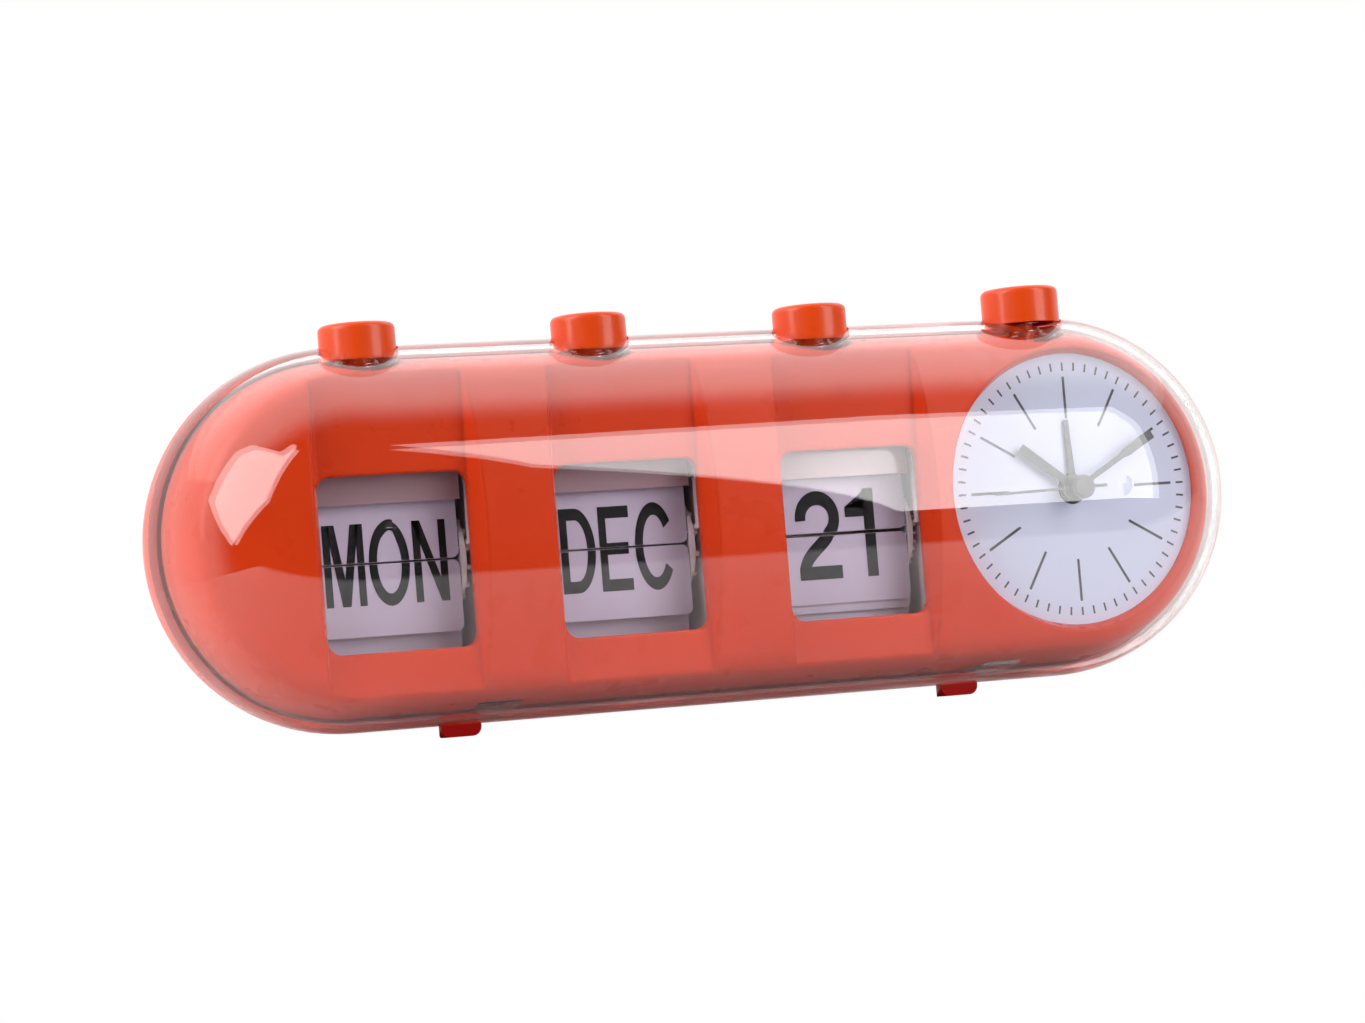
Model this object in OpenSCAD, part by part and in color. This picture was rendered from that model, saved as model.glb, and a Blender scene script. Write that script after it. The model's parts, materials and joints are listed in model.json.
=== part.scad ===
// Flip calendar alarm clock: a pill-shaped case with a clear domed front, three split-flap
// drums for weekday, month and date, an analogue alarm dial, and four push buttons on top.
//
// Most modules are drawn in the "face frame": x to the right, y up from the pill's axis,
// z forward, towards the viewer. The face() module turns that into the part's own frame,
// +Z up and the front towards -Y, with the origin on the table under the middle of the case.

/* [Case] */
// Outer radius of the pill
body_r = 40; // [38:0.5:44]
// Half the distance between the centres of the two round ends
half_span = 82; // [80:0.5:90]
// Height of the pill's axis above the table
axis_h = 42.5; // [42:0.1:44]
// Wall of the clear front cover
cover_wall = 2; // [1.5:0.1:2.5]
// Wall of the rear shell
shell_wall = 2.2; // [1.8:0.1:2.6]

/* [Bezel] */
// Outer radius of the bezel inside the cover
bezel_r = 37; // [36:0.1:37.4]
// Wall of the bezel
bezel_wall = 1.8; // [1.4:0.1:2.2]
// How far the bezel's face stands in front of the parting plane
bezel_front = 21; // [20:0.5:23]
// Radius of the bezel's gently bulged face
bulge_r = 148; // [120:1:200]
// Rounding between the bulged face and the sides
shoulder_r = 5; // [3:0.5:6]
// Depth position of the flat panels round the windows
panel_front = 16.5; // [16:0.1:17]
// Thickness of those panels
panel_wall = 2; // [1.6:0.1:2.4]

/* [Windows] */
// Width of each window
window_w = 32.4; // [31:0.1:33]
// Height of each window
window_h = 36.2; // [34:0.1:37]
// Height of the windows' middle above the pill's axis
window_y = -5.9; // [-7:0.1:-5]
// Corner radius of the windows
window_corner = 3; // [2:0.5:4]
// Middle of the first window
first_window_x = -74.4; // [-76:0.1:-73]
// Distance from window to window
window_pitch = 51.3; // [50.5:0.1:52]

/* [Flaps] */
// Height of the drums' axis above the pill's axis
split_y = -5.5; // [-6:0.1:-5]
// Depth position of the flaps on show
flap_plane = 8.2; // [7.5:0.1:9]
// Width of a flap
flap_w = 31.6; // [31:0.1:31.8]
// Height from the split to the flap's free edge
flap_reach = 15; // [14:0.1:17]
// Thickness of a flap
flap_t = 0.3; // [0.2:0.02:0.32]
// Radius of the circle of flap pins
pin_circle_r = 9.5; // [9:0.1:10]
// Weekday flaps: two cycles of seven
day_flaps = 14; // [14:7:14]
// Month flaps
month_flaps = 12; // [12:1:12]
// Date flaps
date_flaps = 31; // [31:1:31]

/* [Buttons] */
// Distance between neighbouring buttons
button_pitch = 51.2; // [50:0.1:52]
// Depth position of the buttons
button_z = 7.5; // [7:0.1:8]
// Radius of the three calendar buttons
button_r = 8; // [7.5:0.1:8.2]
// Radius of the alarm button
alarm_button_r = 8.5; // [8:0.1:8.7]
// Top of the calendar buttons above the pill's axis
button_top = 44; // [43.5:0.1:45]
// Top of the alarm button above the pill's axis
alarm_button_top = 46; // [45:0.1:47]
// Travel of the alarm button
alarm_travel = 2; // [1.5:0.1:2.2]

/* [Dial] */
// Height of the dial's middle above the pill's axis
dial_y = 0.7; // [0:0.1:1]
// Visible radius of the dial
dial_view_r = 29.8; // [29:0.1:30]
// Depth position of the dial's face
dial_front = 14.9; // [14.5:0.1:15]
// Outer radius of the dial plate
dial_r = 30.7; // [30.5:0.1:31.2]

/* [Hidden] */
$fn = 64;
fit_gap = 0.06;
slack = 0.3;
eps = 0.01;

// --- derived positions ---
shell_in_r = body_r - shell_wall;
cover_in_r = body_r - cover_wall;
bezel_in_r = bezel_r - bezel_wall;
dial_x = half_span;
dial_back = dial_front - 1;
panel_back = panel_front - panel_wall;
window_xs = [for (i = [0 : 2]) first_window_x + i * window_pitch];
button_xs = [for (i = [0 : 3]) (i - 1.5) * button_pitch];
tooth_circle_r = 8.4;
day_step = 360 / day_flaps;
month_step = 360 / month_flaps;
date_step = 360 / date_flaps;

// ===================== frames and shared shapes =====================

// From the face frame to the part's own frame.
module face() {
    translate([0, 0, axis_h]) rotate([90, 0, 0]) children();
}

// Face frame moved to the middle of the dial.
module dial_frame() {
    face() translate([dial_x, dial_y, 0]) children();
}

// A solid standing along y in the face frame, drawn upright along z.
module upright(x, z) {
    translate([x, 0, z]) rotate([-90, 0, 0]) children();
}

// Sweeps a 2D profile (radius, depth) round the pill: two half turns and a straight middle.
module pill_sweep() {
    for (side = [-1, 1])
        translate([side * half_span, 0, 0]) rotate([0, 0, -90 * side])
            rotate_extrude(angle = 180, $fn = 96) children();
    translate([-half_span, 0, 0]) rotate([90, 0, 90]) linear_extrude(2 * half_span) {
        children();
        mirror([1, 0]) children();
    }
}

// The part of a disc of radius r with radius >= 0 and depth from z0 to z1.
module half_disc(r, z0, z1) {
    intersection() {
        circle(r, $fn = 96);
        translate([0, z0]) square([r + 1, z1 - z0]);
    }
}

module rounded_rect(w, h, r) {
    square([w - 2 * r, h], center = true);
    square([w, h - 2 * r], center = true);
    for (x = [-1, 1], y = [-1, 1])
        translate([x * (w / 2 - r), y * (h / 2 - r)]) circle(r, $fn = 32);
}

module tube(r_out, r_in, z0, z1) {
    translate([0, 0, z0]) difference() {
        cylinder(r = r_out, h = z1 - z0);
        translate([0, 0, -1]) cylinder(r = r_in, h = z1 - z0 + 2);
    }
}

module rod(r, z0, z1) {
    translate([0, 0, z0]) cylinder(r = r, h = z1 - z0);
}

// ===================== rear shell =====================

well_r = 30;
well_floor = -8;
well_floor_t = 2;
bay_half_w = 9.2;
bay_half_h = 29;
bay_back = -23.4;
cell_half_w = 8;
cell_half_h = 27.4;
hinge_y = -27.4;
hinge_z = -24.6;
hinge_pin_r = 0.65;
screw_spots = [
    for (x = [first_window_x + window_pitch / 2, first_window_x + 1.5 * window_pitch, 53.4],
         y = [-27, 27]) [x, y]
];
post_r = 3.5;
post_back = -18;
shelf_back = -22.5;
screw_r = 1.45;
screw_head_r = 2.8;
screw_head_h = 2;
time_knob_at = [17.46, -5.5];
alarm_knob_at = [-15.36, 0];

module shell_skin() {
    pill_sweep() difference() {
        half_disc(body_r, -body_r - 1, 0);
        half_disc(shell_in_r, -body_r, 1);
    }
}

module shell_solid() {
    pill_sweep() half_disc(body_r - eps, -body_r, 0);
}

// The sunken round well behind the dial, the battery bay across it and the screw bosses.
module shell_inserts() {
    intersection() {
        shell_solid();
        union() {
            translate([dial_x, 0, 0]) rod(well_r + 1.8, -body_r, well_floor + well_floor_t);
            for (s = screw_spots) translate([s.x, s.y, 0]) rod(post_r, -body_r, post_back - 0.2);
        }
    }
}

module well_cut() {
    translate([dial_x, 0, 0]) {
        difference() {
            rod(well_r, -body_r - 1, well_floor);
            translate([-bay_half_w, -bay_half_h - 3, bay_back])
                cube([2 * bay_half_w, 2 * bay_half_h + 6, well_floor - bay_back + 1]);
            for (side = [-1, 1]) translate([side * (bay_half_w + 0.9), hinge_y, -20.5])
                cube([1.8, 3.4, 12 + 13], center = true);
        }
        translate([-cell_half_w, -cell_half_h, bay_back - 1])
            cube([2 * cell_half_w, 2 * cell_half_h, well_floor - bay_back + 0.8]);
        translate([0, hinge_y, hinge_z]) rotate([0, 90, 0])
            cylinder(r = hinge_pin_r + fit_gap, h = 2 * bay_half_w + 6, center = true);
        translate([-bay_half_w - 6, hinge_y - 4, bay_back - 20]) {
            cube([2 * bay_half_w + 12, 8, 17.2]);
        }
        translate([-bay_half_w, hinge_y - 1.7, hinge_z - 1.4]) cube([2 * bay_half_w, 3.4, 2.6]);
        for (at = [time_knob_at, alarm_knob_at]) translate([at.x, at.y + dial_y, 0])
            rod(1.4, -12, 0);
    }
}

module screw_holes() {
    for (s = screw_spots) translate([s.x, s.y, 0]) {
        rod(screw_r + 0.2, -body_r, 0);
        rod(screw_head_r + 0.4, -body_r - 1, shelf_back);
    }
}

module rear_shell() {
    color("orangered") face() difference() {
        union() {
            shell_skin();
            shell_inserts();
        }
        well_cut();
        screw_holes();
        cap_clearances();
    }
}

module case_screws() {
    color("silver") face() for (s = screw_spots) translate([s.x, s.y, 0]) {
        rod(screw_r, shelf_back - 0.5, -6);
        difference() {
            rod(screw_head_r, shelf_back - screw_head_h, shelf_back);
            for (a = [0, 90]) rotate([0, 0, a])
                translate([0, 0, shelf_back - screw_head_h]) cube([3.6, 0.7, 1.8], center = true);
        }
    }
}

foot_x = 58;
foot_w = 8.8;
foot_depth = 9;
foot_side_r = 12;

// Two feet under the rear shell, flat underneath, hollowed to its curve and narrowing backwards.
module feet() {
    color("orangered") face() for (side = [-1, 1]) translate([side * foot_x, 0, 0])
        difference() {
            intersection() {
                translate([0, 0, -foot_depth - slack]) linear_extrude(foot_depth) difference() {
                    translate([0, -axis_h + 10]) rounded_rect(foot_w, 20, 2);
                    translate([-foot_w, -axis_h + 14]) square([2 * foot_w, 10]);
                }
                foot_flank(-1);
                foot_flank(1);
            }
            rotate([0, 90, 0]) cylinder(r = body_r + eps, h = 2 * foot_w, center = true, $fn = 96);
        }
}

module foot_flank(side) {
    translate([side * (foot_side_r - foot_w / 2), 0, -slack]) rotate([90, 0, 0])
        cylinder(r = foot_side_r, h = 3 * body_r, center = true, $fn = 96);
}

// Round openings for the buttons, shared by the cover and the shell's rim.
module cap_clearances() {
    for (i = [0 : 3]) upright(button_xs[i], button_z) rod(cap_r(i) + 0.4, 30, 50);
}

// ===================== clear front cover =====================

tab_w = 9;
tab_off = 5.5;
tab_t = 1.4;

module front_cover() {
    color("whitesmoke", 0.35) face() {
        difference() {
            pill_sweep() difference() {
                half_disc(body_r, 0, body_r + 1);
                half_disc(cover_in_r, -1, body_r);
            }
            cap_clearances();
        }
        cover_tabs();
    }
}

// Snap tabs that reach back from the cover into the shell's mouth, one beside each foot.
module cover_tabs() {
    for (side = [-1, 1]) translate([side * foot_x + tab_off, 0, 0]) intersection() {
        translate([-tab_w / 2, -body_r, -5]) cube([tab_w, 8, 15]);
        rotate([0, 90, 0]) difference() {
            cylinder(r = shell_in_r - slack, h = 2 * tab_w, center = true, $fn = 96);
            cylinder(r = shell_in_r - slack - tab_t, h = 3 * tab_w, center = true, $fn = 96);
        }
    }
    for (side = [-1, 1]) translate([side * foot_x + tab_off, 0, 0]) intersection() {
        translate([-tab_w / 2, -body_r, 0.5]) cube([tab_w, 8, 2]);
        rotate([0, 90, 0]) difference() {
            cylinder(r = cover_in_r + 0.5, h = 2 * tab_w, center = true, $fn = 96);
            cylinder(r = shell_in_r - slack - tab_t, h = 3 * tab_w, center = true, $fn = 96);
        }
    }
}

// ===================== bezel =====================

// Centre of the shoulder's rounding: tangent inside both the side circle and the bulge circle.
side_reach = bezel_r - shoulder_r;
bulge_reach = bulge_r - shoulder_r;
bulge_z = bezel_front - bulge_r;
shoulder_z = (bulge_reach * bulge_reach - side_reach * side_reach - bulge_z * bulge_z)
    / (-2 * bulge_z);
shoulder_x = sqrt(side_reach * side_reach - shoulder_z * shoulder_z);
shoulder_at = [shoulder_x, shoulder_z];
to_side = shoulder_at * shoulder_r / side_reach;
to_bulge = (shoulder_at - [0, bulge_z]) * shoulder_r / bulge_reach;
skirt = 4;
recess_draft = 2.4;
cone_slope = 0.36;

module bezel_outline() {
    difference() {
        intersection() {
            half_disc(bezel_r, 0, bezel_front + 1);
            translate([0, bulge_z]) circle(bulge_r, $fn = 180);
        }
        polygon([shoulder_at, shoulder_at + 3 * to_bulge, shoulder_at + 3 * to_side]);
    }
    translate(shoulder_at) circle(shoulder_r, $fn = 48);
    translate([0, -skirt]) square([bezel_r, skirt]);
}

module bezel_inside() {
    intersection() {
        half_disc(bezel_in_r, -1, bezel_front);
        translate([0, bulge_z]) circle(bulge_r - bezel_wall, $fn = 180);
    }
    translate([0, -skirt - 1]) square([bezel_in_r, skirt + 1]);
}

module bezel_solid() {
    pill_sweep() bezel_outline();
}

pocket_floor = 31.4;
alarm_pocket_floor = 33;
pocket_floor_t = 1.1;
guide_r = 6.1;
guide_bore_r = 4.6;
guide_low = 27;
stem_r = 2.5;

function cap_r(i) = i == 3 ? alarm_button_r : button_r;
function cap_top(i) = i == 3 ? alarm_button_top : button_top;
function pocket_y(i) = i == 3 ? alarm_pocket_floor : pocket_floor;

module bezel_extras() {
    intersection() {
        bezel_solid();
        union() {
            // solid band round each recess
            for (x = window_xs) translate([x - window_w / 2 - 2.1, -34, panel_back])
                cube([window_w + 4.2, 68, 8]);
            // ring the dial is pressed against
            translate([dial_x, dial_y, 0]) tube(dial_view_r + 3.6, dial_view_r - 1, dial_front, 24);
            // cups and guides of the buttons
            for (i = [0 : 3]) upright(button_xs[i], button_z) {
                rod(cap_r(i) + 1.4, pocket_y(i) - pocket_floor_t, 38);
                rod(guide_r, guide_low, pocket_y(i));
            }
            // screw posts and bosses for the drum frames
            for (s = screw_spots) translate([s.x, s.y, 0]) rod(post_r, post_back, 18);
            for (x = window_xs, s = tab_spots) translate([x + s.x, s.y, 0])
                rod(2.6, panel_back, 20);
        }
    }
    for (s = screw_spots) translate([s.x, s.y, 0]) rod(post_r, post_back, 0);
}

module recess_cut() {
    for (x = window_xs) {
        translate([x, 0, 0]) rotate([90, 0, 0]) translate([0, 0, -bezel_r])
            linear_extrude(2 * bezel_r) polygon([
                [-window_w / 2, panel_front], [window_w / 2, panel_front],
                [window_w / 2 + recess_draft, bezel_front + 1],
                [-window_w / 2 - recess_draft, bezel_front + 1]
            ]);
        translate([x, window_y, panel_back - 1]) linear_extrude(panel_wall + 2)
            rounded_rect(window_w, window_h, window_corner);
    }
}

module dial_cut() {
    depth = bezel_front - dial_front + 2;
    translate([dial_x, dial_y, dial_front]) {
        cylinder(r1 = dial_view_r, r2 = dial_view_r + cone_slope * depth, h = depth, $fn = 96);
        translate([0, 0, -6]) cylinder(r = dial_view_r, h = 6 + eps, $fn = 96);
    }
}

module button_cuts() {
    for (i = [0 : 3]) upright(button_xs[i], button_z) {
        rod(cap_r(i) + 0.4, pocket_y(i), 50);
        rod(guide_bore_r, guide_low + 1.2, 50);
        rod(stem_r + fit_gap, guide_low - 1, 50);
    }
}

module bezel() {
    color("tomato") face() difference() {
        union() {
            difference() {
                bezel_solid();
                pill_sweep() bezel_inside();
            }
            bezel_extras();
        }
        recess_cut();
        dial_cut();
        button_cuts();
        for (side = [-1, 1]) translate([side * foot_x + tab_off - tab_w / 2 - 0.4, -body_r, -5])
            cube([tab_w + 0.8, 8, 15.4]);
        for (s = screw_spots) translate([s.x, s.y, 0]) rod(screw_r + 0.05, post_back - 1, -5);
        for (x = window_xs, s = tab_spots) translate([x + s.x, s.y, 0])
            rod(frame_screw_r + 0.05, panel_back - 1, panel_back + 2);
    }
}

// ===================== buttons, springs and pushers =====================

hub_low = 23;
hub_high = 26.6;
cap_wall = 1.4;
cap_skirt = 8;
spring_r = 3.7;
spring_wire = 0.25;
spring_turns = 6;
coil_steps = 16;
coil_sides = 6;

module cap_profile(r, top, low) {
    round_r = 1.3;
    difference() {
        union() {
            translate([0, low]) square([r, top - low - round_r]);
            square_top = top - round_r;
            translate([0, square_top - 1]) square([r - round_r, round_r + 1]);
            translate([r - round_r, square_top]) circle(round_r, $fn = 32);
        }
        translate([stem_r, low - 1]) square([r - stem_r - cap_wall, top - low - 1]);
        translate([-r, low - 1]) square([r, top]);
    }
}

module button(i) {
    low = i == 3 ? guide_low - 1.2 : hub_low + 0.2;
    color("orangered") face() upright(button_xs[i], button_z) {
        rotate_extrude($fn = 64) cap_profile(cap_r(i), cap_top(i), cap_top(i) - cap_skirt);
        rod(stem_r, low, cap_top(i) - 1);
        if (i == 3) {
            for (a = [0 : 30 : 150]) rotate([0, 0, a])
                translate([0, 0, cap_top(i) - 0.2]) cube([9, 0.5, 0.6], center = true);
            rod(stem_r + 1.2, low, low + 0.9);
        }
    }
}

module button_spring(i) {
    low = guide_low + 1.2 + spring_wire + 0.05;
    high = cap_top(i) - 2 - spring_wire - 0.05;
    color("silver") face() upright(button_xs[i], button_z) spring_body(low, high);
}

// A coil of round wire, swept as rings of points along a helix.
module spring_body(low, high) {
    pitch = (high - low) / spring_turns;
    rings = spring_turns * coil_steps;
    points = [for (k = [0 : rings], s = [0 : coil_sides - 1])
        let (a = k * 360 / coil_steps, b = s * 360 / coil_sides,
             r = spring_r + spring_wire * cos(b))
        [r * cos(a), r * sin(a), low + pitch * k / coil_steps + spring_wire * sin(b)]];
    sides = [for (k = [0 : rings - 1], s = [0 : coil_sides - 1])
        let (n = (s + 1) % coil_sides, a = k * coil_sides, b = a + coil_sides)
        [a + s, a + n, b + n, b + s]];
    first = [for (s = [coil_sides - 1 : -1 : 0]) s];
    last = [for (s = [0 : coil_sides - 1]) rings * coil_sides + s];
    polyhedron(points, concat([first, last], sides));
}

// ===================== split-flap drums =====================

disc_in = 16.1;
disc_out = 17;
star_out = 18.4;
cheek_in = 19;
cheek_out = 20.5;
cheek_r = 27.3;
disc_r = pin_circle_r + 1.1;
hub_r = 3.4;
journal_r = 1.5;
flap_pin_r = 0.2;
tab_spots = [for (x = [-22.6, 22.6], y = [-19, 8]) [x, y]];
frame_screw_r = 0.95;
frame_front = panel_back - 0.1;

function first_pin(step) = step / 2;
function drum_z(step) = flap_plane - pin_circle_r * cos(first_pin(step));
hang_from = 0.8;
hang_tilt = 6;
// Angles are measured from the front, turning up: 90 is up, 180 is to the back. The flaps fan
// out over the drum's back and hang straight down, a little tilted, below its front.
function flap_lean(k, count) =
    let (share = k / (count - 1))
    share < 0.5 ? 90 + 180 * share
    : share < hang_from ? 180 + (90 - hang_tilt) * (share - 0.5) / (hang_from - 0.5)
    : 270 - hang_tilt * (1 - share) / (1 - hang_from);
function flap_length(step) = flap_reach - pin_circle_r * sin(first_pin(step));
function flap_gap(step) = step < 15 ? 0.36 : 0.2;
function flap_heel(step) = pin_circle_r * sin(first_pin(step)) - flap_gap(step);

// One flap with its pin on the origin's x axis, reaching along +z before it is turned.
module flap(step) {
    length = flap_length(step);
    heel = flap_heel(step);
    translate([0, flap_t / 2, 0]) rotate([90, 0, 0]) linear_extrude(flap_t) difference() {
        translate([0, (length - heel) / 2]) rounded_rect(flap_w, length + heel, 1.5);
    }
    for (side = [-1, 1]) translate([side * (flap_w / 2 + 0.2), 0, 0]) rotate([0, 90, 0])
        cylinder(r = flap_pin_r, h = 1.5, center = true, $fn = 16);
}

// A flap placed on its drum: pin at angle "at", blade towards angle "lean".
module flap_at(i, step, at, lean) {
    translate([
        window_xs[i],
        split_y + pin_circle_r * sin(at),
        drum_z(step) + pin_circle_r * cos(at)
    ]) rotate([-lean, 0, 0]) flap(step);
}

module one_flap(i, step, at, lean) {
    color("lavender") face() flap_at(i, step, at, lean);
}

module flap_stack(i, count) {
    step = 360 / count;
    color("lavender") face() for (k = [2 : count - 2])
        flap_at(i, step, first_pin(step) + k * step, flap_lean(k, count));
}

module drum(i, count) {
    step = 360 / count;
    tooth_w = count > 20 ? 0.45 : 1;
    color("whitesmoke") face() translate([window_xs[i], split_y, drum_z(step)])
        rotate([0, 90, 0]) {
            difference() {
                union() {
                    rod(disc_r, -disc_out, -disc_in);
                    rod(disc_r, disc_in, disc_out);
                    rod(hub_r, -disc_in, disc_in);
                }
                for (k = [0 : count - 1]) rotate([0, 0, -first_pin(step) - k * step])
                    for (side = [-1, 1])
                        translate([-pin_circle_r, 0, side * (disc_in + disc_out) / 2])
                            cylinder(r = flap_pin_r + fit_gap, h = 3, center = true, $fn = 16);
            }
            rod(6.6, disc_out, star_out);
            for (k = [0 : count - 1]) rotate([0, 0, -first_pin(step) - k * step])
                translate([-9.2, -tooth_w / 2, disc_out]) cube([3.2, tooth_w, star_out - disc_out]);
            rod(journal_r, -cheek_out, cheek_out);
        }
}

module drum_frame(i, step) {
    z = drum_z(step);
    color("gainsboro") face() translate([window_xs[i], 0, 0]) difference() {
        union() {
            for (side = [-1, 1]) intersection() {
                translate([side * (cheek_in + cheek_out) / 2, split_y, z]) rotate([0, 90, 0])
                    cylinder(r = cheek_r, h = cheek_out - cheek_in, center = true, $fn = 96);
                translate([-30, -50, -40]) cube([60, 100, 40 + frame_front]);
            }
            frame_bar(-30.4, -28.9, -9, 7);
            frame_bar(19.6, 20.8, -8, 2);
            frame_bar(14.3, 17, 11.7, 13.8);
            frame_bar(-12, 1, z - 27, z - 25.9);
            for (s = tab_spots) translate([s.x, s.y, 0]) {
                side = s.x > 0 ? 1 : -1;
                translate([-side * 0.9, 0, frame_front - 0.7]) cube([4.4, 6, 1.4], center = true);
            }
        }
        translate([0, split_y, z]) rotate([0, 90, 0])
            cylinder(r = journal_r + fit_gap, h = 60, center = true);
        for (s = tab_spots) translate([s.x, s.y, 0]) rod(frame_screw_r + 0.15, 5, 20);
    }
}

module frame_bar(y0, y1, z0, z1) {
    translate([-cheek_in - 0.5, y0, z0]) cube([2 * cheek_in + 1, y1 - y0, z1 - z0]);
}

// The glossy strip that holds the upper flap's top edge and gives as the flap snaps past.
module flap_leaf(i) {
    color("lightgray") face() translate([window_xs[i], 0, 0]) {
        translate([-16, 6.6, 10.2]) cube([32, 8.4, 0.8]);
        translate([-16, 14.4, 10.2]) cube([32, 2.4, 1.4]);
        translate([-16, 6.6, 9.7]) cube([32, 0.7, 1.1]);
    }
}

module frame_screws() {
    color("silver") face() for (x = window_xs, s = tab_spots) translate([x + s.x, s.y, 0]) {
        rod(frame_screw_r, frame_front - 2, panel_back + 1.9);
        rod(1.8, frame_front - 2.8, frame_front - 1.45);
    }
}

// The arm under a button that ends in the finger between two teeth of the drum's star.
module pusher(i, count) {
    step = 360 / count;
    x = window_xs[i];
    finger_h = count > 20 ? 0.5 : 1;
    tooth_w = count > 20 ? 0.45 : 1;
    finger_gap = count > 20 ? 0.2 : 0.3;
    finger_y = split_y + tooth_circle_r * sin(first_pin(step)) + tooth_w / 2 + finger_gap;
    axle_z = drum_z(step);
    color("gainsboro") face() {
        upright(button_xs[i], button_z) tube(4, stem_r, hub_low, hub_high);
        difference() {
            translate([button_xs[i], hub_low, 9.9])
                cube([x + 18.3 - button_xs[i], 2.4, 1.5]);
            upright(button_xs[i], button_z) rod(stem_r + eps, hub_low - 1, hub_high);
        }
        translate([x + 17.3, finger_y, 9.9]) cube([1, hub_low + 1 - finger_y, 1.5]);
        translate([x + 17.3, finger_y, axle_z + tooth_circle_r - 0.5])
            cube([1, finger_h, 10 - axle_z - tooth_circle_r + 0.6]);
    }
}

// ===================== dial and hands =====================

module dial() {
    color("lavender") dial_frame() difference() {
        rod(dial_r, dial_back, dial_front);
        rod(3.4, dial_back - 1, dial_front + 1);
    }
}

alarm_hand_z = 15.3;
hour_hand_z = 16.3;
minute_hand_z = 17.7;
second_hand_z = 19.1;
hand_t = 0.4;
second_shaft_r = 0.5;
minute_tube_r = 1.1;
hour_tube_r = 1.75;
alarm_tube_r = 2.4;
push_fit = 0.005;

// Angle of a hand clockwise from twelve, turned into a rotation in the face frame.
module pointing(clock_angle) {
    rotate([0, 0, -clock_angle]) children();
}

module hand_blade(z, half_widths, stations, boss_r, bore_r) {
    n = len(stations);
    right = [for (k = [0 : n - 1]) [half_widths[k], stations[k]]];
    left = [for (k = [n - 1 : -1 : 0]) [-half_widths[k], stations[k]]];
    translate([0, 0, z]) linear_extrude(hand_t) difference() {
        union() {
            polygon(concat(right, left));
            circle(boss_r);
        }
        circle(bore_r);
    }
}

module hour_hand() {
    color("gray") dial_frame() pointing(306.5)
        hand_blade(hour_hand_z, [0.85, 1.1], [0, 15.7], 2.5, hour_tube_r + push_fit);
}

module minute_hand() {
    color("gray") dial_frame() pointing(60.5)
        hand_blade(minute_hand_z, [0.55, 0.65, 1, 1], [0, 13.6, 14.6, 22.2], 2.4,
            minute_tube_r + push_fit);
}

module second_hand() {
    color("gray") dial_frame() {
        pointing(268.5) hand_blade(second_hand_z, [0.35, 0.25], [-6.3, 21], 1.8,
            second_shaft_r + push_fit);
        rod(2.6, second_hand_z + hand_t - eps, second_hand_z + hand_t + 1.2);
        rod(2.2, second_hand_z + hand_t + 1.1, second_hand_z + hand_t + 1.5);
    }
}

module alarm_hand() {
    color("gray") dial_frame() pointing(358)
        hand_blade(alarm_hand_z, [0.85, 0.5], [0, 15.2], 3, alarm_tube_r + push_fit);
}

// ===================== movement =====================

case_w = 45;
case_corner = 6;
case_wall = 1.5;
case_front = dial_back - 0.2;
case_split = 4;
case_back = -4.6;
train_pitch = 8.5;
motion_pitch = 9.6;
third_at = [0, train_pitch];
motion_angle = -35;
motion_at = [motion_pitch * cos(motion_angle), motion_pitch * sin(motion_angle)];

// Outline of a gear: one trapezoid per tooth, narrow enough to leave backlash.
function gear_points(teeth, r, turn) =
    let (p = 360 / teeth, m = 2 * r / teeth, tip = r + 0.75 * m, root = r - 1.15 * m)
    [for (k = [0 : teeth - 1], c = [[-0.25, root], [-0.12, tip], [0.12, tip], [0.25, root]])
        let (a = turn + (k + c[0]) * p) [c[1] * cos(a), c[1] * sin(a)]];

module gear(teeth, r, z0, z1, turn) {
    translate([0, 0, z0]) linear_extrude(z1 - z0) polygon(gear_points(teeth, r, turn));
}

// The rotation that puts a gap on the line of centres at angle "line".
function gap_at(line, teeth) = line + 180 / teeth;

module movement_box(z0, z1, cavity_z0, cavity_z1) {
    inner_w = case_w - 2 * case_wall;
    difference() {
        translate([0, 0, z0]) linear_extrude(z1 - z0) rounded_rect(case_w, case_w, case_corner);
        translate([0, 0, cavity_z0]) linear_extrude(cavity_z1 - cavity_z0)
            rounded_rect(inner_w, inner_w, case_corner - case_wall);
    }
}

// Two lugs beside the dial that hold the movement and the dial against the bezel's ring.
module movement_lugs() {
    for (side = [-1, 1]) rotate([0, 0, 180 + side * 38]) {
        translate([26.5, -3, case_front - 1.3]) cube([dial_r - 24.1, 6, 1.1]);
        translate([dial_r + 0.3, -3, case_front - 0.5]) cube([2.1, 6, dial_front - case_front + 0.4]);
    }
}

module movement_front() {
    color("dimgray") dial_frame() difference() {
        union() {
            movement_box(case_split, case_front, case_split - 1, case_front - case_wall);
            movement_lugs();
        }
        rod(alarm_tube_r + fit_gap, 0, 20);
    }
}

module movement_back() {
    color("dimgray") dial_frame() difference() {
        movement_box(case_back, case_split, case_back + case_wall, case_split + 1);
        rod(second_shaft_r + fit_gap, -10, 0);
        translate(third_at) rod(second_shaft_r + fit_gap, -10, 0);
        translate(motion_at) rod(second_shaft_r + fit_gap, -10, 0);
        translate([13, -16, 0]) rod(second_shaft_r + fit_gap, -10, 0);
        translate(time_knob_at) rod(1 + fit_gap, -10, 0);
        translate(alarm_knob_at) rod(1 + fit_gap, -10, 0);
    }
}

module second_wheel() {
    color("white") dial_frame() {
        gear(60, 7.5, 0.6, 1.4, 0);
        gear(8, 1, 1.3, 4, gap_at(90, 8));
        rod(second_shaft_r, case_back + 0.3, second_hand_z + hand_t);
    }
}

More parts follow.
